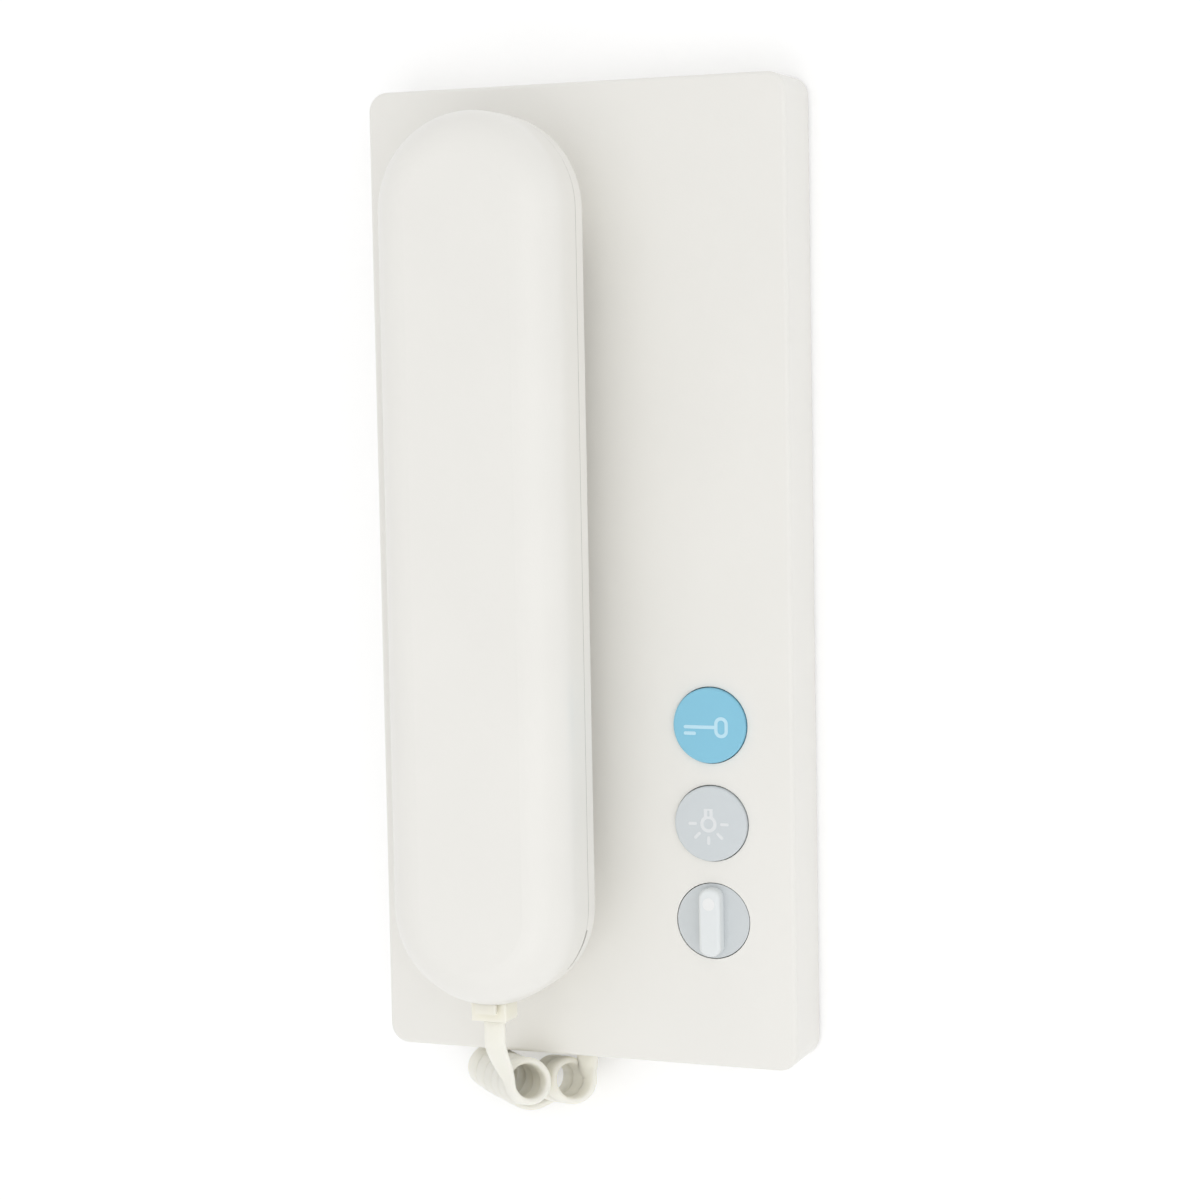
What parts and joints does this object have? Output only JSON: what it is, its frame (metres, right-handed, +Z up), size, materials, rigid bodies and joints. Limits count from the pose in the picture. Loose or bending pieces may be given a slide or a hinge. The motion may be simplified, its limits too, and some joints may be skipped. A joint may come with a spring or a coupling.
{
  "type": "audio intercom handset",
  "caption": "Slim white wall intercom with a long round-ended handset in its cradle, blue and grey push buttons, a volume knob and a short curly cord.",
  "frame": {"origin": "centre of the wall face, at the back of the base", "axes": "+X to the viewer's right, +Y into the wall, +Z up along the length"},
  "size_m": [0.091, 0.046, 0.2167],
  "materials": {
    "white_shell": "satin warm white moulding",
    "back_plastic": "matte white moulding",
    "steel": "zinc plated",
    "weight_steel": "plain sheet",
    "speaker_steel": "plated pressing",
    "spring_steel": "bright wire",
    "board_green": "solder mask",
    "terminal_plastic": "matte",
    "black_plastic": "matte",
    "capacitor_sleeve": "shrink sleeve",
    "cone_film": "paper and film",
    "magnet": "dark ferrite",
    "plunger_plastic": "smooth matte",
    "blue_button": "satin light blue",
    "blue_print": "pale print",
    "grey_button": "satin light grey",
    "grey_print": "pale print",
    "grey_knob": "satin light grey",
    "dot_print": "near-white print",
    "plug_cream": "clear-ish cream moulding",
    "cord_cream": "soft cream sleeve",
    "lead_sleeve": "soft sleeve",
    "foam": "closed-cell foam",
    "boot_rubber": "soft moulding",
    "capsule_aluminium": "drawn can"
  },
  "bodies": {
    "base": {"housing": "white_shell", "wall_plate": "back_plastic", "housing_screw": "steel", "main_board": "board_green", "board_screws": "steel", "terminal_block": "terminal_plastic", "terminal_screws": "steel", "board_chips": "black_plastic", "capacitors": "capacitor_sleeve", "button_switches": "black_plastic", "hook_switch": "black_plastic", "speaker_frame": "speaker_steel", "speaker_cone": "cone_film", "speaker_magnet": "magnet", "hook_spring": "spring_steel", "key_spring": "spring_steel", "light_spring": "spring_steel", "volume_control": "black_plastic", "base_socket": "back_plastic", "base_plug": "plug_cream", "curly_cord": "cord_cream"},
    "hook": {"hook_plunger": "plunger_plastic"},
    "key": {"key_button": "blue_button", "key_pictogram": "blue_print"},
    "light": {"light_button": "grey_button", "light_pictogram": "grey_print"},
    "knob": {"volume_knob": "grey_knob", "knob_dot": "dot_print", "volume_shaft": "steel"},
    "handset": {"handset_cover": "white_shell", "handset_back": "white_shell", "handset_screws": "steel", "handset_socket": "back_plastic", "handset_plug": "plug_cream", "handset_weight": "weight_steel", "handset_leads": "lead_sleeve", "earpiece_gasket": "foam", "earpiece_capsule": "black_plastic", "microphone_boot": "boot_rubber", "microphone_capsule": "capsule_aluminium"}
  },
  "joints": [
    {"name": "handset_lift", "type": "slide", "parent": "base", "child": "handset", "axis": [0, -1, 0], "range_m": [0, 0.06], "deforming": ["curly_cord"]},
    {"name": "hook_slide", "type": "slide", "parent": "base", "child": "hook", "axis": [0, -1, 0], "range_m": [0, 0.0029], "deforming": ["hook_spring"]},
    {"name": "key_press", "type": "slide", "parent": "base", "child": "key", "axis": [0, 1, 0], "range_m": [0, 0.0012], "stiffness_N_per_m": 1200, "springref_m": -0.0005, "deforming": ["key_spring"]},
    {"name": "light_press", "type": "slide", "parent": "base", "child": "light", "axis": [0, 1, 0], "range_m": [0, 0.0012], "stiffness_N_per_m": 1200, "springref_m": -0.0005, "deforming": ["light_spring"]},
    {"name": "volume_turn", "type": "hinge", "parent": "base", "child": "knob", "pos_m": [0.028, -0.0154, -0.0702], "axis": [0, 1, 0], "range_deg": [-135, 135]}
  ],
  "couplings": [
    {"joint": "hook_slide", "follows": "handset_lift", "ratio": 0.04833}
  ]
}
